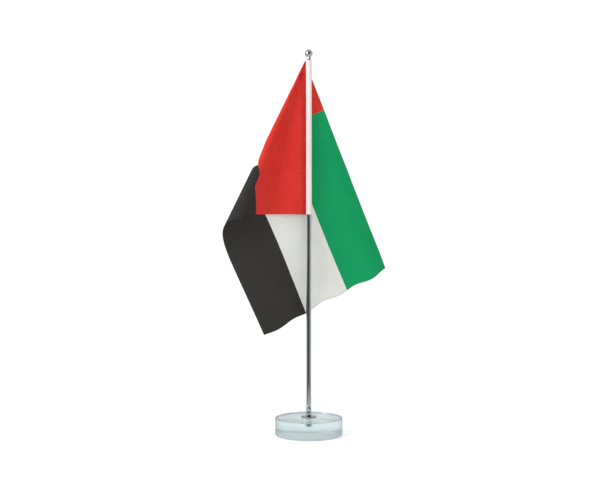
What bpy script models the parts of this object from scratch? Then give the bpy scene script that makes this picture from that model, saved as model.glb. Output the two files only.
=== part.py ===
"""A desk flag stand: a clear disc base, a chrome pole with a ball on top, and a flag folded back behind it.

The origin is the centre of the base's underside, on the pole's axis. +Z is up, and +Y is behind the stand.
"""

import math

import bmesh
import bpy
from mathutils import Quaternion, Vector

MM = 0.001
ROUND_SIDES = 48
THREAD_SIDES = 24
RIM_STEPS = 3
BALL_STEPS = 14
SHARP_ANGLE = math.radians(40)
MERGE = 1e-6

# Base, in metres
BASE_R = 35.0 * MM
BASE_H = 18.0 * MM
BASE_EDGE = 0.8 * MM
BASE_HOLE_R = 3.1 * MM
BASE_HOLE_DEPTH = 8.0 * MM
GAP = 0.3 * MM
FIT_GAP = 0.1 * MM

# Threaded pieces
STUD_R = 1.5 * MM
BORE_R = STUD_R + FIT_GAP
THREAD_CHAMFER = 0.4 * MM
INSERT_R = BASE_HOLE_R - GAP
STUD_BOTTOM = BASE_H - 4.6 * MM
STUD_TOP = BASE_H + 12.0 * MM

# Foot of the pole
FLANGE_R = 8.3 * MM
FLANGE_T = 1.2 * MM
FLANGE_HOLE_R = 1.9 * MM
FLANGE_EDGE = 0.4 * MM
FERRULE_R = 2.95 * MM
FERRULE_H = 4.4 * MM
FERRULE_EDGE = 0.3 * MM
SPIGOT_H = 9.0 * MM

# Pole and ball
TUBE_R = 2.7 * MM
TUBE_WALL = 0.5 * MM
TUBE_BORE_R = TUBE_R - TUBE_WALL
SPIGOT_R = TUBE_BORE_R - FIT_GAP
TUBE_TOP = 388.9 * MM
TOTAL_H = 400.0 * MM
BALL_R = 4.25 * MM
NECK_R = 2.4 * MM
PLUG_H = 10.5 * MM
FINIAL_STUD_BOTTOM = TUBE_TOP - 8.5 * MM
FINIAL_STUD_TOP = TOTAL_H - 5.2 * MM

# Sleeve
FLAG_TOP = 388.5 * MM
HOIST = 160.0 * MM
FLY = 242.0 * MM
SLEEVE_R = 3.3 * MM
SLEEVE_WALL = 0.2 * MM
RING_R = SLEEVE_R - SLEEVE_WALL - FIT_GAP
RING_H = 3.0 * MM
RING_Z = 330.0 * MM

# Cloth: a flat sheet bent about straight lines that fan out from one point above its top hoist corner
CLOTH_T = 0.4 * MM
HOIST_AT = Vector((-2.55 * MM, 2.75 * MM, FLAG_TOP))
HOIST_HEADING = math.radians(-50)
FIRST_LINE = math.radians(0.25)
FAN_UP = 3.3 * MM
FAN_CLEAR = 12.0 * MM
FAN_CLEAR_FROM = math.radians(8)
# (fan angle in degrees from the hoist, how sharply the cloth bends there; positive bends it back)
BENDS = (
    (0, 4),
    (9, 3.5),
    (18, -3.5),
    (25, -16),
    (31, 35),
    (36, 12),
    (41, 7),
    (47, 1),
    (55, -2),
    (64, 0),
    (73, 2),
    (82, -2.5),
    (90, -1),
)
FAN_STEP = math.radians(0.5)
COLUMN_STEP = math.radians(1.5)
COLUMN_TURN = 0.35
CLOTH_ROWS = 12

# Seam beside the sleeve
SEAM_U = 6.3 * MM
SEAM_FROM = 20.0 * MM
SEAM_TO = 158.0 * MM
SEAM_POINTS = 40
THREAD_R = 0.15 * MM


def clear_scene():
    for obj in list(bpy.data.objects):
        bpy.data.objects.remove(obj, do_unlink=True)


def material(name, colour, roughness, metallic=0.0, alpha=1.0):
    mat = bpy.data.materials.new(name)
    mat.use_nodes = True
    shader = mat.node_tree.nodes["Principled BSDF"]
    shader.inputs["Base Color"].default_value = (*colour, 1.0)
    shader.inputs["Roughness"].default_value = roughness
    shader.inputs["Metallic"].default_value = metallic
    shader.inputs["Alpha"].default_value = alpha
    return mat


def add_object(name, bm, mat):
    """Turn a bmesh into a named object with smooth round faces."""
    bmesh.ops.recalc_face_normals(bm, faces=bm.faces)
    if bm.calc_volume(signed=True) < 0:
        bmesh.ops.reverse_faces(bm, faces=bm.faces)
    mesh = bpy.data.meshes.new(name)
    bm.to_mesh(mesh)
    bm.free()
    mesh.shade_smooth()
    mesh.set_sharp_from_angle(angle=SHARP_ANGLE)
    mesh.materials.append(mat)
    obj = bpy.data.objects.new(name, mesh)
    bpy.context.collection.objects.link(obj)
    return obj


def under(parent, name, location=(0.0, 0.0, 0.0)):
    """An empty on a joint's axis, for the pieces that move on that joint."""
    empty = bpy.data.objects.new(name, None)
    empty.location = location
    empty.parent = parent
    bpy.context.collection.objects.link(empty)
    return empty


def turned(name, profile, mat, sides=ROUND_SIDES):
    """Spin a closed outline of (radius, height) points about Z."""
    bm = bmesh.new()
    points = [bm.verts.new((radius, 0.0, height)) for radius, height in profile]
    edges = [bm.edges.new((points[i], points[(i + 1) % len(points)])) for i in range(len(points))]
    on_axis = [e for e in edges if all(abs(v.co.x) < MERGE for v in e.verts)]
    for edge in on_axis:
        bm.edges.remove(edge)
    bmesh.ops.spin(
        bm,
        geom=bm.verts[:] + bm.edges[:],
        cent=(0, 0, 0),
        axis=(0, 0, 1),
        angle=math.tau,
        steps=sides,
        use_merge=True,
    )
    bmesh.ops.remove_doubles(bm, verts=bm.verts, dist=MERGE)
    return add_object(name, bm, mat)


def ring(inner, outer, bottom, top):
    """The outline of a plain ring."""
    return [(inner, bottom), (outer, bottom), (outer, top), (inner, top)]


def arc(radius, centre_r, centre_z, start, end, steps):
    """Points on an arc in the outline's plane; angles in degrees from the +r direction."""
    points = []
    for i in range(steps + 1):
        angle = math.radians(start + (end - start) * i / steps)
        points.append((centre_r + radius * math.cos(angle), centre_z + radius * math.sin(angle)))
    return points


def stud(name, bottom, top, mat):
    """A threaded stud, plain here, with chamfered ends."""
    profile = [
        (0.0, bottom),
        (STUD_R - THREAD_CHAMFER, bottom),
        (STUD_R, bottom + THREAD_CHAMFER),
        (STUD_R, top - THREAD_CHAMFER),
        (STUD_R - THREAD_CHAMFER, top),
        (0.0, top),
    ]
    return turned(name, profile, mat, THREAD_SIDES)


def make_base(acrylic, steel, chrome):
    hole_floor = BASE_H - BASE_HOLE_DEPTH
    rim_top = arc(BASE_EDGE, BASE_R - BASE_EDGE, BASE_H - BASE_EDGE, 90, 0, RIM_STEPS)
    rim_bottom = arc(BASE_EDGE, BASE_R - BASE_EDGE, BASE_EDGE, 0, -90, RIM_STEPS)
    outline = [(0.0, hole_floor), (BASE_HOLE_R, hole_floor), (BASE_HOLE_R, BASE_H)]
    turned("base_disc", outline + rim_top + rim_bottom + [(0.0, 0.0)], acrylic)
    turned("base_insert", ring(BORE_R, INSERT_R, hole_floor + GAP, BASE_H - GAP), steel, THREAD_SIDES)
    flange_bottom = BASE_H + GAP
    flange = [
        (FLANGE_HOLE_R, flange_bottom),
        (FLANGE_R, flange_bottom),
        (FLANGE_R, flange_bottom + FLANGE_T - FLANGE_EDGE),
        (FLANGE_R - FLANGE_EDGE, flange_bottom + FLANGE_T),
        (FLANGE_HOLE_R, flange_bottom + FLANGE_T),
    ]
    turned("base_flange", flange, chrome)


def make_pole(chrome, steel):
    """The stud turns with the pole; the pole's pieces hang from an empty on the thread's axis."""
    pole_stud = stud("pole_stud", STUD_BOTTOM, STUD_TOP, steel)
    axis = under(pole_stud, "pole_axis")
    foot = BASE_H + GAP + FLANGE_T + GAP
    shoulder = foot + FERRULE_H
    ferrule = [
        (0.0, STUD_TOP + GAP),
        (BORE_R, STUD_TOP + GAP),
        (BORE_R, foot),
        (FERRULE_R - FERRULE_EDGE, foot),
        (FERRULE_R, foot + FERRULE_EDGE),
        (FERRULE_R, shoulder - FERRULE_EDGE),
        (FERRULE_R - FERRULE_EDGE, shoulder),
        (SPIGOT_R, shoulder),
        (SPIGOT_R, shoulder + SPIGOT_H),
        (0.0, shoulder + SPIGOT_H),
    ]
    pieces = [
        turned("pole_ferrule", ferrule, chrome),
        turned("pole_tube", ring(TUBE_BORE_R, TUBE_R, shoulder + GAP, TUBE_TOP), chrome),
        turned("pole_top_plug", ring(BORE_R, SPIGOT_R, TUBE_TOP - PLUG_H, TUBE_TOP - GAP), steel, THREAD_SIDES),
    ]
    for piece in pieces:
        piece.parent = axis
    return axis


def make_finial(pole_axis, chrome, steel):
    finial_stud = stud("finial_stud", FINIAL_STUD_BOTTOM, FINIAL_STUD_TOP, steel)
    finial_stud.parent = pole_axis
    neck_bottom = TUBE_TOP + GAP
    ball_z = TOTAL_H - BALL_R
    neck_angle = -math.degrees(math.acos(NECK_R / BALL_R))
    outline = [
        (0.0, FINIAL_STUD_TOP + GAP),
        (BORE_R, FINIAL_STUD_TOP + GAP),
        (BORE_R, neck_bottom),
        (NECK_R, neck_bottom),
    ]
    ball = turned("finial_ball", outline + arc(BALL_R, 0.0, ball_z, neck_angle, 90, BALL_STEPS), chrome)
    ball.parent = under(finial_stud, "finial_axis")


def bend_at(angle):
    """How sharply the cloth bends at a fan angle, eased between the values in BENDS."""
    degrees = min(max(math.degrees(angle), BENDS[0][0]), BENDS[-1][0])
    for (low, bend_low), (high, bend_high) in zip(BENDS, BENDS[1:]):
        if degrees <= high:
            t = (degrees - low) / (high - low)
            return bend_low + (bend_high - bend_low) * t * t * (3 - 2 * t)
    return 0.0


def fan_rays(last_angle):
    """Each fan line's direction and the cloth's normal there, one fan step apart.

    A line turned by one fan step moves through the same angle in space, so the cloth is bent but never stretched.
    """
    line = Vector((0.0, 0.0, -1.0))
    across = Vector((-math.cos(HOIST_HEADING), math.sin(HOIST_HEADING), 0.0))
    rays = []
    for i in range(math.ceil(last_angle / FAN_STEP) + 2):
        normal = line.cross(across)
        rays.append((line.copy(), normal.copy()))
        turn = normal + bend_at((i + 0.5) * FAN_STEP) * line
        step = Quaternion(turn.normalized(), turn.length * FAN_STEP)
        line = step @ line
        across = step @ across
    return rays


class Cloth:
    """The bent cloth: where a point of the flat cloth lies, u along the fly and v down from the top edge."""

    def __init__(self):
        self.corner_angle = math.atan2(FLY, HOIST + FAN_UP)
        self.last_angle = math.atan2(FLY, FAN_UP)
        self.rays = fan_rays(self.last_angle)
        self.apex = HOIST_AT + Vector((0.0, 0.0, FAN_UP))

    def place(self, u, v):
        """The point and its normal."""
        angle = math.atan2(u, v + FAN_UP)
        index = int(angle / FAN_STEP)
        share = angle / FAN_STEP - index
        line = self.rays[index][0].slerp(self.rays[index + 1][0], share)
        normal = self.rays[index][1].lerp(self.rays[index + 1][1], share).normalized()
        return self.apex + math.hypot(u, v + FAN_UP) * line, normal

    def column_ends(self, angle):
        """Where a fan line enters and leaves the flat cloth, clear of the pinched tip of the fold."""
        pinch = FAN_UP + (FAN_CLEAR - FAN_UP) * min(1.0, angle / FAN_CLEAR_FROM)
        reach = max(FAN_UP / math.cos(angle), pinch)
        start = (reach * math.sin(angle), reach * math.cos(angle) - FAN_UP)
        if angle <= self.corner_angle:
            return start, ((HOIST + FAN_UP) * math.tan(angle), HOIST)
        return start, (FLY, max(0.0, FLY / math.tan(angle) - FAN_UP))

    def columns(self):
        """The ends of every column of the mesh, closer together where the cloth bends more."""
        angles = []
        angle = FIRST_LINE
        while angle < self.last_angle - FAN_STEP:
            angles.append(angle)
            bend = max(abs(bend_at(angle)), abs(bend_at(angle + 2 * FAN_STEP)), 1.0)
            step = min(COLUMN_STEP, COLUMN_TURN / bend)
            if angle < self.corner_angle < angle + 1.5 * step:
                step = self.corner_angle - angle
            angle += step
        return [self.column_ends(angle) for angle in angles] + [((FLY, 0.0), (FLY, 0.0))]


def make_cloth(cloth, mat):
    """Two skins either side of the bent cloth, joined round the edge."""
    bm = bmesh.new()
    skins = []
    for side in (0.5, -0.5):
        skin = []
        for (u0, v0), (u1, v1) in cloth.columns():
            column = []
            for row in range(CLOTH_ROWS + 1):
                t = row / CLOTH_ROWS
                point, normal = cloth.place(u0 + (u1 - u0) * t, v0 + (v1 - v0) * t)
                column.append(bm.verts.new(point + side * CLOTH_T * normal))
            skin.append(column)
        skins.append(skin)
    last = len(skins[0]) - 1
    for skin in skins:
        for a, b in zip(skin, skin[1:]):
            for row in range(CLOTH_ROWS):
                bm.faces.new((a[row], b[row], b[row + 1], a[row + 1]))
    front, back = skins
    for i in range(last):
        for row in (0, CLOTH_ROWS):
            bm.faces.new((front[i][row], front[i + 1][row], back[i + 1][row], back[i][row]))
    for i in (0, last):
        for row in range(CLOTH_ROWS):
            bm.faces.new((front[i][row], front[i][row + 1], back[i][row + 1], back[i][row]))
    bmesh.ops.remove_doubles(bm, verts=bm.verts, dist=MERGE)
    return add_object("flag_cloth", bm, mat)


def make_seam_thread(cloth, mat):
    """One row of sewing thread, lying on the front of the cloth beside the sleeve."""
    curve = bpy.data.curves.new("hoist_seam_thread", "CURVE")
    curve.dimensions = "3D"
    curve.bevel_depth = THREAD_R
    curve.bevel_resolution = 1
    curve.use_fill_caps = True
    spline = curve.splines.new("POLY")
    spline.points.add(SEAM_POINTS - 1)
    stand_off = CLOTH_T / 2 + GAP + THREAD_R
    for i, spline_point in enumerate(spline.points):
        v = SEAM_FROM + (SEAM_TO - SEAM_FROM) * i / (SEAM_POINTS - 1)
        point, normal = cloth.place(SEAM_U, v)
        outward = normal if normal.y < 0 else -normal
        spline_point.co = (*(point + stand_off * outward), 1.0)
    curve.materials.append(mat)
    obj = bpy.data.objects.new("hoist_seam_thread", curve)
    bpy.context.collection.objects.link(obj)
    return obj


def make_flag(pole_axis, silicone, white_cloth, printed_cloth, thread):
    grip = turned("grip_ring", ring(TUBE_R + FIT_GAP, RING_R, RING_Z, RING_Z + RING_H), silicone)
    grip.parent = pole_axis
    axis = under(grip, "flag_axis")
    sleeve_outline = ring(SLEEVE_R - SLEEVE_WALL, SLEEVE_R, FLAG_TOP - HOIST, FLAG_TOP)
    cloth = Cloth()
    pieces = [
        turned("hoist_sleeve", sleeve_outline, white_cloth),
        make_cloth(cloth, printed_cloth),
        make_seam_thread(cloth, thread),
    ]
    for piece in pieces:
        piece.parent = axis


def main():
    clear_scene()
    acrylic = material("clear_acrylic", (0.80, 0.87, 0.87), 0.05, alpha=0.35)
    chrome = material("chrome", (0.78, 0.79, 0.81), 0.08, metallic=1.0)
    steel = material("zinc_steel", (0.55, 0.55, 0.56), 0.30, metallic=1.0)
    silicone = material("clear_silicone", (0.85, 0.85, 0.83), 0.40)
    white_cloth = material("white_cloth", (0.86, 0.84, 0.82), 0.75)
    printed_cloth = material("printed_cloth", (0.70, 0.05, 0.04), 0.70)
    thread = material("red_thread", (0.55, 0.03, 0.03), 0.60)
    make_base(acrylic, steel, chrome)
    pole_axis = make_pole(chrome, steel)
    make_finial(pole_axis, chrome, steel)
    make_flag(pole_axis, silicone, white_cloth, printed_cloth, thread)


main()
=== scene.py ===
"""The looks of a desk flag stand: clear disc base, chrome pole and ball, and a printed flag folded behind it."""
import math

import bmesh
import bpy
import numpy as np
from mathutils import Matrix, Vector, noise


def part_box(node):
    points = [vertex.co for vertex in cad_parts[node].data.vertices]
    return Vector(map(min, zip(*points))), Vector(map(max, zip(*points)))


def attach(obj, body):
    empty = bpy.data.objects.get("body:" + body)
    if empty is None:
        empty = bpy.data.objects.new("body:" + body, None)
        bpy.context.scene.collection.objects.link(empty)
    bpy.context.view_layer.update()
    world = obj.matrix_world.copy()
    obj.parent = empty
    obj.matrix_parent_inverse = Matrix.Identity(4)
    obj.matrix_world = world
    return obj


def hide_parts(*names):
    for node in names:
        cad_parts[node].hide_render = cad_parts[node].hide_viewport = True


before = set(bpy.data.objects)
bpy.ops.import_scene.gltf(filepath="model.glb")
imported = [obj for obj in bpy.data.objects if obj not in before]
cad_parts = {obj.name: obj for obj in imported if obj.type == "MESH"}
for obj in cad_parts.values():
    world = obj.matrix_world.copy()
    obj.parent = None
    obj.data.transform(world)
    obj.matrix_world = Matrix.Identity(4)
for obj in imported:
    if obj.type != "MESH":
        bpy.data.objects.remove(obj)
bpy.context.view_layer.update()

MM = 0.001

# Camera and room
CAMERA_AT = (-0.0092, -0.977, 0.1968)
LENS_MM = 56.4
FLOOR_SIZE = 8.0
ROOM_LIGHT = 0.72
SEEN_WHITE = 1.05
MIRROR_BRIGHT_SIDE = (0.35, 0.94, 0.0)
MIRROR_DARK = 0.04
MIRROR_BRIGHT = 0.85
MIRROR_TABLE_FROM = 0.345
MIRROR_TABLE_TO = 0.40
MIRROR_TABLE = 0.55
TABLE_GLOW = 0.36

# The cloth: a flat sheet bent about lines that fan out from one point above its top hoist corner.
# The bends are the CAD's. The hoist lies a little nearer the pole, because the cloth is thinner here.
HOIST = 160.0 * MM
FLY = 242.0 * MM
RED_BAND = 56.5 * MM
RED_BOW = 12.5 * MM
BOW_AT = 108.0 * MM
BOW_REACH = 20.0 * MM
HOIST_AT = Vector((-2.4 * MM, 2.6 * MM, 388.5 * MM))
HOIST_HEADING = math.radians(-50)
FAN_UP = 3.3 * MM
BENDS = (
    (0, 4),
    (9, 3.5),
    (18, -3.5),
    (25, -16),
    (31, 35),
    (36, 12),
    (41, 7),
    (47, 1),
    (55, -2),
    (64, 0),
    (73, 2),
    (82, -2.5),
    (90, -1),
)
FAN_STEP = math.radians(0.25)
CLOTH_T = 0.24 * MM
LAYER_GAP = 1.3 * CLOTH_T
THREAD_LIFT = 1.87 * CLOTH_T
WRAP = 1.6 * MM
CELLS_ALONG = 190
CELLS_DOWN = 126
FINE_CORNER = 1.6

# Small creases in the cloth
FOLD_END = math.radians(44)
FOLD_FADE = math.radians(12)
SOFT_WAVE = 60.0 * MM
SOFT_HEIGHT = 1.3 * MM
FINE_WAVE = 16.0 * MM
FINE_HEIGHT = 0.22 * MM
SMOOTH_CORNER = 50.0 * MM
EDGE_WAVE = 8.5 * MM
EDGE_HEIGHT = 0.9 * MM
PUCKER_WAVE = 6.5 * MM
PUCKER_REACH = 13.0 * MM
PUCKER_HEIGHT = 0.60 * MM
SCALLOP_PITCH = 40.0 * MM
SCALLOP_START = 13.0 * MM
SCALLOP_DEPTH = 1.2 * MM
SCALLOP_REACH = 35.0 * MM

# Doubled cloth and seam beside the sleeve
HEM_WIDTH = 6.6 * MM
SEAM_U = 5.6 * MM
SEAM_FROM = 16.0 * MM
HEM_FROM = 14.0 * MM
MARGIN_FROM = 37.0 * MM
SEAM_TO = 158.5 * MM
STITCH_PITCH = 2.3 * MM
STITCH_LENGTH = 1.9 * MM
THREAD_R = 0.13 * MM

# Making
WELD = 0.001 * MM
SHARP_ANGLE = math.radians(35)
POLE_SIDES = 96
SLEEVE_SIDES = 56
SLEEVE_ROWS = 150
SLEEVE_T = 0.2 * MM
SLEEVE_WAVE = 14.0 * MM
SLEEVE_LOOSE = 0.09 * MM
SLEEVE_INSET = 0.25 * MM
STRIP_CELLS = (8, 120)
# Painted dark reflection: the foot flange's chrome colour is darkened to stand in for the dark reflection it
# shows.
FLANGE_PAINTED_DARK_REFLECTION = 0.62

# Threads
SCREW_BORE = 1.6 * MM
PITCH = 0.5 * MM
THREAD_DEPTH = 0.27 * MM


class Value:
    """A number or colour on its way through a finish; sums on it add Math nodes."""

    def __init__(self, finish, socket):
        self.finish = finish
        self.socket = socket

    def math(self, operation, *others):
        inputs = {f"input_{i}": value for i, value in enumerate((self, *others))}
        return self.finish.node("ShaderNodeMath", {"operation": operation}, **inputs)

    def __add__(self, other):
        return self.math("ADD", other)

    __radd__ = __add__

    def __mul__(self, other):
        return self.math("MULTIPLY", other)

    __rmul__ = __mul__

    def __sub__(self, other):
        return self.math("SUBTRACT", other)

    def __rsub__(self, other):
        return (self * -1.0) + other

    def ramp(self, low, high):
        """0 below low, 1 above high, eased between."""
        settings = {"interpolation_type": "SMOOTHSTEP"}
        return self.finish.node("ShaderNodeMapRange", settings, Value=self, **{"From Min": low, "From Max": high})


class Finish:
    """One material and its nodes."""

    def __init__(self, name, **constants):
        self.material = bpy.data.materials.new(name)
        self.material.use_nodes = True
        self.tree = self.material.node_tree
        self.shader = self.tree.nodes["Principled BSDF"]
        for socket, value in constants.items():
            self.shader.inputs[socket.replace("_", " ")].default_value = value

    def node(self, kind, settings=None, output=0, **inputs):
        """Add a node: its settings first, then the value or link of each socket."""
        node = self.tree.nodes.new(kind)
        for key, value in (settings or {}).items():
            setattr(node, key, value)
        for key, value in inputs.items():
            socket = node.inputs[int(key[6:])] if key.startswith("input_") else node.inputs[key]
            if isinstance(value, Value):
                self.tree.links.new(value.socket, socket)
            else:
                socket.default_value = value
        return Value(self, node.outputs[output])

    def mix(self, factor, a, b):
        """Mix two colours."""
        settings = {"data_type": "RGBA"}
        return self.node("ShaderNodeMix", settings, output=2, input_0=factor, input_6=a, input_7=b)

    def place(self):
        return self.node("ShaderNodeTexCoord", output=3)

    def surface(self):
        return self.node("ShaderNodeTexCoord", output=2)

    def noise(self, where, scale, detail=2.0, roughness=0.5):
        return self.node("ShaderNodeTexNoise", Vector=where, Scale=scale, Detail=detail, Roughness=roughness)

    def scaled(self, where, size):
        return self.node("ShaderNodeMapping", Vector=where, Scale=size)

    def feed(self, socket, value):
        self.tree.links.new(value.socket, self.shader.inputs[socket])

    def bump(self, height, strength, distance):
        self.feed("Normal", self.node("ShaderNodeBump", Height=height, Strength=strength, Distance=distance))


def linear(red, green, blue):
    """A colour given as 0 to 255 display values."""
    channels = [channel / 255 for channel in (red, green, blue)]
    return (*[c / 12.92 if c <= 0.04045 else ((c + 0.055) / 1.055) ** 2.4 for c in channels], 1.0)


# ---------------------------------------------------------------- finishes

def chrome_finish(name, painted_reflection_scale):
    """Polished chrome plate, with the faint wipe marks and specks of a handled part. Its second argument, below
    1.0, darkens the colour as a painted dark reflection.
    """
    finish = Finish(name, Metallic=1.0, Roughness=0.06)
    where = finish.place()
    cloudy = finish.noise(where, 90.0, 4.0)
    specks = finish.noise(where, 1900.0, 1.0).ramp(0.70, 0.78)
    bright = linear(*[channel * painted_reflection_scale for channel in (226, 229, 233)])
    dim = linear(*[channel * painted_reflection_scale for channel in (214, 218, 224)])
    tint = finish.mix(cloudy.ramp(0.35, 0.7), bright, dim)
    finish.feed("Base Color", finish.mix(specks * 0.12, tint, linear(120, 124, 128)))
    finish.feed("Roughness", cloudy * 0.05 + 0.03 + specks * 0.10)
    drawn = finish.noise(finish.scaled(where, (1.0, 1.0, 0.02)), 4200.0, 2.0)
    finish.bump(drawn, 0.03, 0.004 * MM)
    return finish.material


def zinc_finish():
    """Bright zinc plate on the threaded pieces, duller and darker in random patches."""
    finish = Finish("zinc plate", Metallic=1.0, Roughness=0.3)
    where = finish.place()
    patches = finish.noise(where, 700.0, 3.0)
    finish.feed("Base Color", finish.mix(patches, linear(150, 152, 155), linear(196, 198, 200)))
    finish.feed("Roughness", patches * 0.25 + 0.18)
    finish.bump(finish.noise(where, 3000.0), 0.2, 0.02 * MM)
    return finish.material


def acrylic_finish():
    """Clear cast acrylic with a cool tint, polished, with faint handling haze."""
    finish = Finish("clear cast acrylic", Transmission_Weight=1.0, IOR=1.49, Roughness=0.02)
    where = finish.place()
    haze = finish.noise(where, 60.0, 3.0)
    finish.feed("Base Color", finish.mix(haze, linear(206, 223, 225), linear(212, 228, 230)))
    finish.feed("Roughness", haze.ramp(0.4, 0.8) * 0.04 + 0.15)
    finish.bump(finish.noise(where, 35.0, 1.0), 0.05, 0.03 * MM)
    return finish.material


def silicone_finish():
    finish = Finish("clear silicone", Roughness=0.35, Transmission_Weight=0.6, IOR=1.41)
    grain = finish.noise(finish.place(), 2500.0, 2.0)
    finish.feed("Base Color", finish.mix(grain, linear(222, 222, 218), linear(236, 236, 233)))
    finish.feed("Roughness", grain * 0.2 + 0.25)
    finish.bump(grain, 0.1, 0.02 * MM)
    return finish.material


def weave(finish, where, threads_across, threads_down):
    """Height of a plain weave; the yarns cross one over the other."""
    yarns = []
    for direction, threads in (("X", threads_across), ("Y", threads_down)):
        settings = {"bands_direction": direction}
        weave_height_and_painted_shade = finish.node("ShaderNodeTexWave", settings, output=1, Vector=where, Scale=threads, Distortion=0.0)
        yarns.append(weave_height_and_painted_shade)
    return yarns


def cloth_finish(name, colour_of, sheen):
    """Printed woven polyester. colour_of(finish, u, v) gives the print's colour."""
    finish = Finish(name, Sheen_Weight=sheen, Sheen_Roughness=0.5, Specular_IOR_Level=0.05)
    flat = finish.surface()
    parts = finish.node("ShaderNodeSeparateXYZ", Vector=flat)
    u = parts
    v = Value(finish, parts.socket.node.outputs[1])
    across, down = weave(finish, flat, 640.0, 640.0)
    slubs = finish.noise(finish.scaled(flat, (60.0, 1400.0, 1.0)), 1.0, 3.0)
    cross_slubs = finish.noise(finish.scaled(flat, (1500.0, 70.0, 1.0)), 1.0, 3.0)
    patches = finish.noise(flat, 22.0, 3.0)
    weave_height_and_painted_shade = across * 0.5 + down * 0.5
    colour = colour_of(finish, u, v)
    slubbing = (slubs + cross_slubs) * 0.5
    darker = finish.node("ShaderNodeHueSaturation", Color=colour, Value=0.86, Saturation=1.02)
    lighter = finish.node("ShaderNodeHueSaturation", Color=colour, Value=1.10, Saturation=0.96)
    # Painted shade: the weave's height lightens the colour on the yarn crests and darkens it in the hollows
    # between them; the slubs and patches are the yarn's own random tone.
    mixed = finish.mix((slubbing * 0.6 + weave_height_and_painted_shade * 0.25 + patches * 0.3).ramp(0.25, 0.85), darker, lighter)
    finish.feed("Base Color", mixed)
    finish.feed("Roughness", weave_height_and_painted_shade * -0.12 + slubbing * 0.12 + 0.66)
    finish.bump(weave_height_and_painted_shade + slubbing * 0.5, 0.35, 0.06 * MM)
    return finish.material


def flag_colours(finish, u, v):
    """A red band at the hoist, then green, white and black bands, with slightly bled edges.

    The red band's edge bows out where the cloth is folded.
    """
    wander = finish.noise(finish.surface(), 260.0, 2.0) * (0.5 * MM) - 0.25 * MM
    bleed = 0.25 * MM
    from_bow = (v - BOW_AT) * (1 / BOW_REACH)
    bow = (from_bow * from_bow * -1.0).math("EXPONENT") * RED_BOW
    along = u + wander - bow
    downwards = v + wander
    third = HOIST / 3
    green = linear(0, 152, 90)
    white = linear(222, 223, 217)
    black = linear(53, 52, 51)
    red = linear(212, 46, 36)
    lower = finish.mix(downwards.ramp(2 * third - bleed, 2 * third + bleed), white, black)
    bands = finish.mix(downwards.ramp(third - bleed, third + bleed), green, lower)
    return finish.mix(along.ramp(RED_BAND - bleed, RED_BAND + bleed), red, bands)


def white_margin(finish, u, v):
    return finish.mix(finish.noise(finish.surface(), 40.0), linear(226, 216, 214), linear(234, 226, 223))


def red_margin(finish, u, v):
    return finish.mix(finish.noise(finish.surface(), 40.0), linear(196, 34, 32), linear(208, 40, 35))


def thread_finish():
    """Twisted polyester sewing thread, darker red in the grooves of its twist as painted shade."""
    finish = Finish("red sewing thread", Sheen_Weight=0.3, Roughness=0.5)
    where = finish.place()
    twist_height_and_painted_shade = finish.node(
        "ShaderNodeTexWave",
        {"bands_direction": "DIAGONAL"},
        output=1,
        Vector=where,
        Scale=900.0,
        Distortion=0.5,
    )
    # Painted shade: dark red in the grooves of the twist, lighter red on its crests.
    finish.feed("Base Color", finish.mix(twist_height_and_painted_shade, linear(158, 22, 24), linear(206, 48, 44)))
    finish.feed("Roughness", twist_height_and_painted_shade * 0.2 + 0.4)
    finish.bump(twist_height_and_painted_shade, 0.4, 0.03 * MM)
    return finish.material


def floor_finish():
    """A plain white light table."""
    white = (1.0, 1.0, 1.0, 1.0)
    finish = Finish("white table", Roughness=0.6, Emission_Strength=TABLE_GLOW, Emission_Color=white)
    grain = finish.noise(finish.place(), 30.0, 2.0)
    finish.feed("Base Color", finish.mix(grain, linear(243, 243, 243), linear(249, 249, 249)))
    return finish.material


# ---------------------------------------------------------------- making

def piece(name, bm, material, body, nodes=()):
    """Finish a bmesh into a piece that rides on a body."""
    mesh = bpy.data.meshes.new(name)
    bm.to_mesh(mesh)
    bm.free()
    mesh.shade_smooth()
    mesh.set_sharp_from_angle(angle=SHARP_ANGLE)
    mesh.materials.append(material)
    obj = bpy.data.objects.new(name, mesh)
    bpy.context.collection.objects.link(obj)
    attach(obj, body)
    if nodes:
        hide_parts(*nodes)
    return obj


def turned(outline, sides):
    """Spin an outline of (radius, height) points about the pole's axis."""
    bm = bmesh.new()
    points = [bm.verts.new((radius, 0.0, height)) for radius, height in outline]
    for a, b in zip(points, points[1:]):
        bm.edges.new((a, b))
    if outline[0][0] > 0 or outline[-1][0] > 0:
        bm.edges.new((points[-1], points[0]))
    whole = bm.verts[:] + bm.edges[:]
    centre = (0, 0, 0)
    bmesh.ops.spin(bm, geom=whole, cent=centre, axis=(0, 0, 1), angle=math.tau, steps=sides, use_merge=True)
    bmesh.ops.remove_doubles(bm, verts=bm.verts, dist=WELD)
    bmesh.ops.recalc_face_normals(bm, faces=bm.faces)
    if bm.calc_volume(signed=True) < 0:
        bmesh.ops.reverse_faces(bm, faces=bm.faces)
    return bm


def arc(radius, centre_r, centre_z, start, end, steps):
    """Points on an arc of the outline; angles in degrees from the outward direction."""
    angles = [math.radians(start + (end - start) * i / steps) for i in range(steps + 1)]
    return [(centre_r + radius * math.cos(a), centre_z + radius * math.sin(a)) for a in angles]


def rounded_bar(inner, outer, low, high, edge, steps=4):
    """The outline of a ring whose outer corners are rounded."""
    bottom = arc(edge, outer - edge, low + edge, -90, 0, steps)
    top = arc(edge, outer - edge, high - edge, 0, 90, steps)
    return [(inner, low)] + bottom + top + [(inner, high)]


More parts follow.
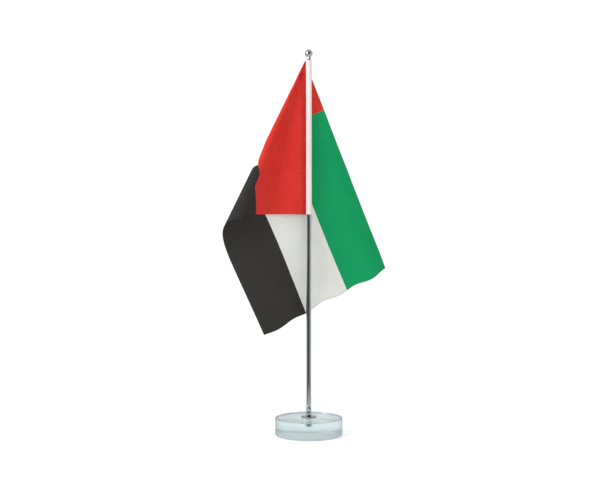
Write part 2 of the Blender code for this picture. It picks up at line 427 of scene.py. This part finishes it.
def make_acrylic_disc(material):
    low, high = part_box("base_disc")
    insert_low, insert_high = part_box("base_insert")
    radius = high.x
    edge = 0.8 * MM
    hole_r = insert_high.x + 0.3 * MM
    hole_z = insert_low.z - 0.3 * MM
    bottom = arc(edge, radius - edge, low.z + edge, -90, 0, 6)
    top = arc(edge, radius - edge, high.z - edge, 0, 90, 6)
    mouth = [(hole_r + 0.25 * MM, high.z), (hole_r, high.z - 0.25 * MM)]
    outline = [(0.0, low.z)] + bottom + top + mouth + [(hole_r, hole_z), (0.0, hole_z - 0.9 * MM)]
    return piece("clear_disc", turned(outline, 180), material, "base", ("base_disc",))


def make_insert(material):
    """A pressed-in threaded insert: a knurled barrel with two plain collars."""
    low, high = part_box("base_insert")
    radius = high.x
    bore = 1.62 * MM
    waist = 0.25 * MM
    span = high.z - low.z
    marks = (0.0, 0.12, 0.16, 0.48, 0.52, 0.60, 0.64, 0.96, 1.0)
    knurled = (False, False, True, True, False, False, True, True, False)
    outline = [(bore, low.z)]
    for mark, rough in zip(marks, knurled):
        outline.append((radius - (0.0 if rough else waist), low.z + span * mark))
    outline += [(bore, high.z)]
    bm = turned(outline, 72)
    for vert in bm.verts:
        out = math.hypot(vert.co.x, vert.co.y)
        if out > radius - 0.1 * MM:
            tooth = 0.5 + 0.5 * math.cos(math.atan2(vert.co.y, vert.co.x) * 36)
            shrink = (out - 0.22 * MM * tooth) / out
            vert.co.x *= shrink
            vert.co.y *= shrink
    return piece("threaded_insert", bm, material, "base", ("base_insert",))


def make_threaded_stud(name, node, material, body):
    """A stud with a helical thread and plain chamfered ends."""
    low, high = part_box(node)
    radius = high.x
    chamfer = 0.4 * MM
    core = radius - THREAD_DEPTH
    rows = round((high.z - low.z - 2 * chamfer) / PITCH) * 6
    outline = [(0.0, low.z), (core, low.z), (radius, low.z + chamfer)]
    step = (high.z - low.z - 2 * chamfer) / rows
    outline += [(radius, low.z + chamfer + step * i) for i in range(1, rows)]
    outline += [(radius, high.z - chamfer), (core, high.z), (0.0, high.z)]
    bm = turned(outline, 36)
    for vert in bm.verts:
        out = math.hypot(vert.co.x, vert.co.y)
        if out < radius - 0.01 * MM:
            continue
        turn = math.atan2(vert.co.y, vert.co.x) / math.tau
        phase = ((vert.co.z - low.z) / PITCH - turn) % 1.0
        groove = 1.0 - abs(2.0 * phase - 1.0)
        shrink = 1.0 - THREAD_DEPTH * groove / out
        vert.co.x *= shrink
        vert.co.y *= shrink
    return piece(name, bm, material, body, (node,))


def make_flange(material):
    """A thin dished disc, its rim rolled over."""
    low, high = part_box("base_flange")
    radius = high.x
    hole = 1.9 * MM
    rim = 0.45 * MM
    edge = arc(rim, radius - rim, low.z + rim, -90, 90, 8)
    crown = [
        (radius * 0.80, high.z - 0.22 * MM),
        (radius * 0.55, high.z - 0.06 * MM),
        (radius * 0.42, high.z),
    ]
    outline = [(hole, low.z)] + edge + crown + [(hole, high.z)]
    return piece("foot_flange", turned(outline, 96), material, "base", ("base_flange",))


def make_ferrule(material):
    """The collar at the pole's foot: a shoulder with a turned groove, and the spigot inside the tube."""
    low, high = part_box("pole_ferrule")
    tube_low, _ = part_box("pole_tube")
    _, stud_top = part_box("pole_stud")
    radius = high.x
    shoulder = tube_low.z - 0.3 * MM
    spigot_r = 2.1 * MM
    bore = SCREW_BORE
    edge = 0.3 * MM
    groove_z = low.z + (shoulder - low.z) * 0.78
    groove = [
        (radius, groove_z - 0.25 * MM),
        (radius - 0.22 * MM, groove_z - 0.1 * MM),
        (radius - 0.22 * MM, groove_z + 0.1 * MM),
        (radius, groove_z + 0.25 * MM),
    ]
    outline = [(0.0, stud_top.z + 0.3 * MM), (bore, stud_top.z + 0.3 * MM), (bore, low.z)]
    outline += arc(edge, radius - edge, low.z + edge, -90, 0, 4) + groove
    outline += arc(edge, radius - edge, shoulder - edge, 0, 90, 4)
    outline += [(spigot_r, shoulder), (spigot_r, high.z - edge), (spigot_r - edge, high.z), (0.0, high.z)]
    return piece("pole_collar", turned(outline, 72), material, "pole", ("pole_ferrule",))


def make_tube(material):
    """The pole: a drawn tube with its ends lightly rolled in."""
    low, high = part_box("pole_tube")
    radius = high.x
    bore = radius - 0.5 * MM
    roll = 0.2 * MM
    outline = [(bore, low.z)] + arc(roll, radius - roll, low.z + roll, -90, 0, 3)
    outline += arc(roll, radius - roll, high.z - roll, 0, 90, 3) + [(bore, high.z)]
    return piece("chrome_pole", turned(outline, POLE_SIDES), material, "pole", ("pole_tube",))


def make_plug(material):
    low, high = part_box("pole_top_plug")
    radius = high.x
    third = (high.z - low.z) / 3
    waist = radius - 0.15 * MM
    outline = [
        (SCREW_BORE, low.z),
        (radius - 0.3 * MM, low.z),
        (radius, low.z + 0.3 * MM),
        (radius, low.z + third),
        (waist, low.z + third + 0.2 * MM),
        (waist, high.z - third - 0.2 * MM),
        (radius, high.z - third),
        (radius, high.z),
        (SCREW_BORE, high.z),
    ]
    return piece("tube_plug", turned(outline, 48), material, "pole", ("pole_top_plug",))


def make_ball(material):
    """The ball on its short neck, with a small bead where the neck meets the tube."""
    low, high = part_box("finial_ball")
    radius = high.x
    neck = 2.4 * MM
    bore = SCREW_BORE
    centre = high.z - radius
    start = -math.degrees(math.acos(neck * 0.92 / radius))
    bead = arc(0.45 * MM, neck - 0.45 * MM, low.z + 0.45 * MM, -90, 60, 5)
    outline = [(0.0, high.z - 4.9 * MM), (bore, high.z - 4.9 * MM), (bore, low.z)] + bead
    outline += arc(radius, 0.0, centre, start, 88, 28) + [(0.0, high.z)]
    return piece("ball_finial", turned(outline, 96), material, "ball", ("finial_ball",))


def make_grip_ring(material):
    low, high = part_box("grip_ring")
    bore = 2.78 * MM
    outline = rounded_bar(bore, high.x, low.z, high.z, 0.1 * MM)
    return piece("silicone_ring", turned(outline, 64), material, "grip", ("grip_ring",))


# ---------------------------------------------------------------- cloth

def eased(value, low, high):
    """0 below low, 1 above high, and a smooth step between."""
    t = min(1.0, max(0.0, (value - low) / (high - low)))
    return t * t * (3 - 2 * t)


def bend_at(angle):
    """How sharply the cloth bends at a fan angle, eased between the values in BENDS."""
    degrees = min(max(math.degrees(angle), BENDS[0][0]), BENDS[-1][0])
    for (low, bend_low), (high, bend_high) in zip(BENDS, BENDS[1:]):
        if degrees <= high:
            t = (degrees - low) / (high - low)
            return bend_low + (bend_high - bend_low) * t * t * (3 - 2 * t)
    return 0.0


def fan_rays():
    """Each fan line's direction and the cloth's normal there. The cloth is bent along them and never stretched."""
    line = Vector((0.0, 0.0, -1.0))
    across = Vector((-math.cos(HOIST_HEADING), math.sin(HOIST_HEADING), 0.0))
    lines, normals = [], []
    for i in range(round(math.pi / 2 / FAN_STEP) + 2):
        normal = line.cross(across)
        lines.append(line.copy())
        normals.append(normal)
        turn = normal + bend_at((i + 0.5) * FAN_STEP) * line
        step = Matrix.Rotation(turn.length * FAN_STEP, 3, turn.normalized())
        line = step @ line
        across = step @ across
    return np.array(lines), np.array(normals)


class Drape:
    """Where a point of the flat cloth hangs: u along the fly, v down from the top edge."""

    def __init__(self):
        self.lines, self.normals = fan_rays()
        self.apex = np.array(HOIST_AT) + np.array((0.0, 0.0, FAN_UP))
        self.hoist_r = math.hypot(HOIST_AT.x, HOIST_AT.y)
        self.hoist_turn = math.atan2(HOIST_AT.y, HOIST_AT.x)

    def smooth(self, u, v):
        """The bent cloth without its small creases, and its normal. Where u is negative it wraps the sleeve."""
        if u < 0:
            turn = self.hoist_turn + u / self.hoist_r
            out = np.array((math.cos(turn), math.sin(turn), 0.0))
            return self.hoist_r * out + np.array((0.0, 0.0, HOIST_AT.z - v)), -out
        place = math.atan2(u, v + FAN_UP) / FAN_STEP
        index = int(place)
        share = place - index
        line = self.lines[index] * (1 - share) + self.lines[index + 1] * share
        normal = self.normals[index] * (1 - share) + self.normals[index + 1] * share
        reach = math.hypot(u, v + FAN_UP)
        return self.apex + reach * line / np.linalg.norm(line), normal / np.linalg.norm(normal)

    def crease(self, u, v):
        """Height of the small creases along the normal: waves on the free panel, puckers beside the seam."""
        fan = math.atan2(u, v + FAN_UP)
        free = eased(fan, FOLD_END, FOLD_END + FOLD_FADE)
        soft = noise.noise(Vector((u / SOFT_WAVE, v / SOFT_WAVE, 3.1))) * SOFT_HEIGHT
        fine = noise.noise(Vector((u / FINE_WAVE, v / (1.4 * FINE_WAVE), 9.7))) * FINE_HEIGHT
        from_seam = max(0.0, u - HEM_WIDTH)
        ripple = noise.noise(Vector((v / PUCKER_WAVE + u / (1.4 * PUCKER_WAVE), 1.7, 4.2)))
        pucker = ripple * PUCKER_HEIGHT * math.exp(-((from_seam / PUCKER_REACH) ** 2))
        corner = eased(math.hypot(u, v), SMOOTH_CORNER, 2 * SMOOTH_CORNER)
        edge = eased(u, FLY - 70 * MM, FLY) * math.sin(v / EDGE_WAVE) * EDGE_HEIGHT
        beside_seam = eased(u, 0.0, 4 * MM) * eased(v, 3 * MM, 25 * MM)
        return (soft + fine + edge) * free * corner + pucker * beside_seam

    def scallop(self, u, v):
        """How far the fly edge is drawn in or out by its waves, a small stretch of the flat cloth."""
        wave = math.sin(math.tau * (v - SCALLOP_START) / SCALLOP_PITCH)
        return eased(u, FLY - SCALLOP_REACH, FLY) * wave * SCALLOP_DEPTH

    def place(self, u, v, stand_off=0.0):
        point, normal = self.smooth(u + self.scallop(u, v), v)
        return point + normal * (self.crease(u, v) + stand_off), normal


def draped_sheet(drape, along, down, span, stand_off=0.0, fine=0.0):
    """A grid laid on the drape over span = ((u0, u1), (v0, v1)). Cells crowd towards the low end by fine."""
    bm = bmesh.new()
    bmesh.ops.create_grid(bm, x_segments=along, y_segments=down, size=1.0)
    (u0, u1), (v0, v1) = span
    flat = {}

    def crowded(t):
        return t if not fine else (math.exp(fine * t) - 1) / (math.exp(fine) - 1)

    for vert in bm.verts:
        s = crowded((vert.co.x + 1) / 2)
        t = crowded((vert.co.y + 1) / 2)
        flat[vert] = (u0 + (u1 - u0) * s, v0 + (v1 - v0) * t)
    layer = bm.loops.layers.uv.new("flat")
    for face in bm.faces:
        for loop in face.loops:
            loop[layer].uv = flat[loop.vert]
    for vert, (u, v) in flat.items():
        point, _ = drape.place(u, v, stand_off)
        vert.co = Vector(point)
    return bm


def make_flag(drape, material):
    span = ((-WRAP, FLY), (0.0, HOIST))
    bm = draped_sheet(drape, CELLS_ALONG, CELLS_DOWN, span, fine=FINE_CORNER)
    flag = piece("printed_flag", bm, material, "flag", ("flag_cloth",))
    thicken(flag, CLOTH_T)
    return flag


def thicken(obj, thickness):
    solid = obj.modifiers.new("cloth thickness", "SOLIDIFY")
    solid.thickness = thickness
    solid.offset = 0.0


def front_side(drape):
    """+1 or -1: which way along the cloth's normal the front of the hoist faces."""
    _, normal = drape.smooth(20 * MM, 100 * MM)
    return -1.0 if normal[1] > 0 else 1.0


def make_hem(drape, material):
    """The second layer of cloth beside the sleeve, on the front."""
    span = ((0.5 * MM, HEM_WIDTH), (HEM_FROM, HOIST - 0.4 * MM))
    bm = draped_sheet(drape, *STRIP_CELLS, span, front_side(drape) * LAYER_GAP)
    hem = piece("hoist_hem", bm, material, "flag", ())
    thicken(hem, CLOTH_T)
    return hem


def make_tail(drape, material):
    """The sleeve's white margin, sewn flat behind the cloth."""
    span = ((0.5 * MM, HEM_WIDTH + 0.8 * MM), (MARGIN_FROM, HOIST - 0.8 * MM))
    bm = draped_sheet(drape, *STRIP_CELLS, span, -front_side(drape) * LAYER_GAP)
    tail = piece("sleeve_margin", bm, material, "flag", ())
    thicken(tail, CLOTH_T)
    return tail


def make_stitches(drape, material):
    """A row of lockstitches, seen on both sides of the seam."""
    bm = bmesh.new()
    side = front_side(drape)
    for face, start in ((side, SEAM_FROM), (-side, MARGIN_FROM)):
        count = int((SEAM_TO - start) / STITCH_PITCH)
        for i in range(count):
            v = start + STITCH_PITCH * (i + 0.5)
            here, normal = drape.place(SEAM_U, v, face * THREAD_LIFT)
            ahead, _ = drape.place(SEAM_U, v + 0.5 * MM, face * THREAD_LIFT)
            run = Vector(ahead - here).normalized()
            up = Vector(normal)
            turn = Matrix((run, up, run.cross(up))).transposed().to_4x4()
            size = Matrix.Diagonal((STITCH_LENGTH / 2, THREAD_R, THREAD_R, 1.0))
            laid = Matrix.Rotation(math.pi / 2, 4, "Y")
            spot = Matrix.Translation(Vector(here)) @ turn @ size @ laid
            bmesh.ops.create_uvsphere(bm, u_segments=6, v_segments=7, radius=1.0, matrix=spot)
    return piece("seam_stitches", bm, material, "flag", ("hoist_seam_thread",))


def make_sleeve(material):
    """The white sleeve: a soft tube of cloth, a little loose on the pole."""
    low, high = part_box("hoist_sleeve")
    outer = high.x - SLEEVE_INSET
    bm = bmesh.new()
    bmesh.ops.create_grid(bm, x_segments=SLEEVE_SIDES, y_segments=SLEEVE_ROWS, size=1.0)
    layer = bm.loops.layers.uv.new("flat")
    flat = {v: ((v.co.x + 1) / 2, (v.co.y + 1) / 2) for v in bm.verts}
    round_it = math.tau * outer
    for face in bm.faces:
        for loop in face.loops:
            s, t = flat[loop.vert]
            loop[layer].uv = (s * round_it, t * (high.z - low.z))
    for vert, (s, t) in flat.items():
        turn = s * math.tau
        z = high.z - t * (high.z - low.z)
        ring = Vector((math.cos(turn), math.sin(turn), z / SLEEVE_WAVE))
        loose = noise.noise(ring + Vector((5.0, 2.0, 0.0))) * SLEEVE_LOOSE
        vert.co = Vector((math.cos(turn) * (outer + loose), math.sin(turn) * (outer + loose), z))
    bmesh.ops.remove_doubles(bm, verts=bm.verts, dist=WELD)
    bmesh.ops.recalc_face_normals(bm, faces=bm.faces)
    sleeve = piece("white_sleeve", bm, material, "flag", ("hoist_sleeve",))
    solid = sleeve.modifiers.new("cloth thickness", "SOLIDIFY")
    solid.thickness = SLEEVE_T
    solid.offset = -1.0
    return sleeve


# ---------------------------------------------------------------- room

def make_room():
    bm = bmesh.new()
    bmesh.ops.create_grid(bm, x_segments=4, y_segments=4, size=FLOOR_SIZE / 2)
    mesh = bpy.data.meshes.new("table_top")
    bm.to_mesh(mesh)
    bm.free()
    mesh.materials.append(floor_finish())
    floor = bpy.data.objects.new("table_top", mesh)
    bpy.context.collection.objects.link(floor)
    floor.visible_glossy = False


def make_light(name, place, aim, size, power):
    light = bpy.data.lights.new(name, "AREA")
    light.shape = "RECTANGLE"
    light.size, light.size_y = size
    light.energy = power
    obj = bpy.data.objects.new(name, light)
    obj.location = place
    obj.rotation_euler = (Vector(aim) - Vector(place)).to_track_quat("-Z", "Y").to_euler()
    bpy.context.collection.objects.link(obj)


def make_world():
    """A white studio: white where it is seen straight on, and dark on the viewer's side in polished metal."""
    world = bpy.data.worlds.new("studio")
    world.use_nodes = True
    tree = world.node_tree
    background = tree.nodes["Background"]
    background.inputs["Color"].default_value = (1.0, 1.0, 1.0, 1.0)
    path = tree.nodes.new("ShaderNodeLightPath")
    towards = tree.nodes.new("ShaderNodeTexCoord")
    behind = tree.nodes.new("ShaderNodeVectorMath")
    behind.operation = "DOT_PRODUCT"
    behind.inputs[1].default_value = MIRROR_BRIGHT_SIDE
    tree.links.new(towards.outputs["Generated"], behind.inputs[0])
    mirrored = tree.nodes.new("ShaderNodeMapRange")
    mirrored.inputs["From Min"].default_value = -1.0
    mirrored.inputs["To Min"].default_value = MIRROR_DARK
    mirrored.inputs["To Max"].default_value = MIRROR_BRIGHT
    tree.links.new(behind.outputs["Value"], mirrored.inputs["Value"])
    direction = tree.nodes.new("ShaderNodeSeparateXYZ")
    tree.links.new(towards.outputs["Generated"], direction.inputs[0])
    low_table = tree.nodes.new("ShaderNodeMapRange")
    low_table.inputs["From Min"].default_value = -MIRROR_TABLE_FROM
    low_table.inputs["From Max"].default_value = -MIRROR_TABLE_TO
    low_table.inputs["To Max"].default_value = MIRROR_TABLE
    tree.links.new(direction.outputs["Z"], low_table.inputs["Value"])
    brighter = tree.nodes.new("ShaderNodeMath")
    brighter.operation = "MAXIMUM"
    tree.links.new(mirrored.outputs[0], brighter.inputs[0])
    tree.links.new(low_table.outputs[0], brighter.inputs[1])
    glossy = tree.nodes.new("ShaderNodeMapRange")
    glossy.inputs["To Min"].default_value = ROOM_LIGHT
    tree.links.new(path.outputs["Is Glossy Ray"], glossy.inputs["Value"])
    tree.links.new(brighter.outputs[0], glossy.inputs["To Max"])
    strength = tree.nodes.new("ShaderNodeMapRange")
    strength.inputs["To Max"].default_value = SEEN_WHITE
    tree.links.new(glossy.outputs[0], strength.inputs["To Min"])
    tree.links.new(path.outputs["Is Camera Ray"], strength.inputs["Value"])
    tree.links.new(strength.outputs[0], background.inputs["Strength"])
    bpy.context.scene.world = world


def make_camera():
    camera = bpy.data.cameras.new("camera")
    camera.lens = LENS_MM
    camera.sensor_width = 36.0
    obj = bpy.data.objects.new("camera", camera)
    obj.location = CAMERA_AT
    obj.rotation_euler = (math.radians(90), 0.0, 0.0)
    bpy.context.collection.objects.link(obj)
    bpy.context.scene.camera = obj


def main():
    make_camera()
    make_world()
    make_room()
    make_light("left softbox", (-0.9, -0.75, 0.75), (0.0, 0.0, 0.25), (0.7, 0.9), 9.0)
    bpy.context.scene.view_settings.view_transform = "Standard"

    chrome = chrome_finish("chrome plate", 1.0)
    zinc = zinc_finish()
    make_acrylic_disc(acrylic_finish())
    make_insert(zinc)
    # The foot flange's chrome is painted darker: a painted dark reflection.
    make_flange(chrome_finish("chrome plate with painted dark reflection", FLANGE_PAINTED_DARK_REFLECTION))
    make_threaded_stud("pole_screw", "pole_stud", zinc, "stud")
    make_ferrule(chrome)
    make_tube(chrome)
    make_plug(zinc)
    make_threaded_stud("ball_screw", "finial_stud", zinc, "top_stud")
    make_ball(chrome)
    make_grip_ring(silicone_finish())

    drape = Drape()
    white = cloth_finish("white sleeve cloth", white_margin, 0.05)
    sleeve = make_sleeve(white)
    flag = make_flag(drape, cloth_finish("printed flag cloth", flag_colours, 0.02))
    hem = make_hem(drape, cloth_finish("red hem cloth", red_margin, 0.02))
    tail = make_tail(drape, white)
    stitches = make_stitches(drape, thread_finish())


main()
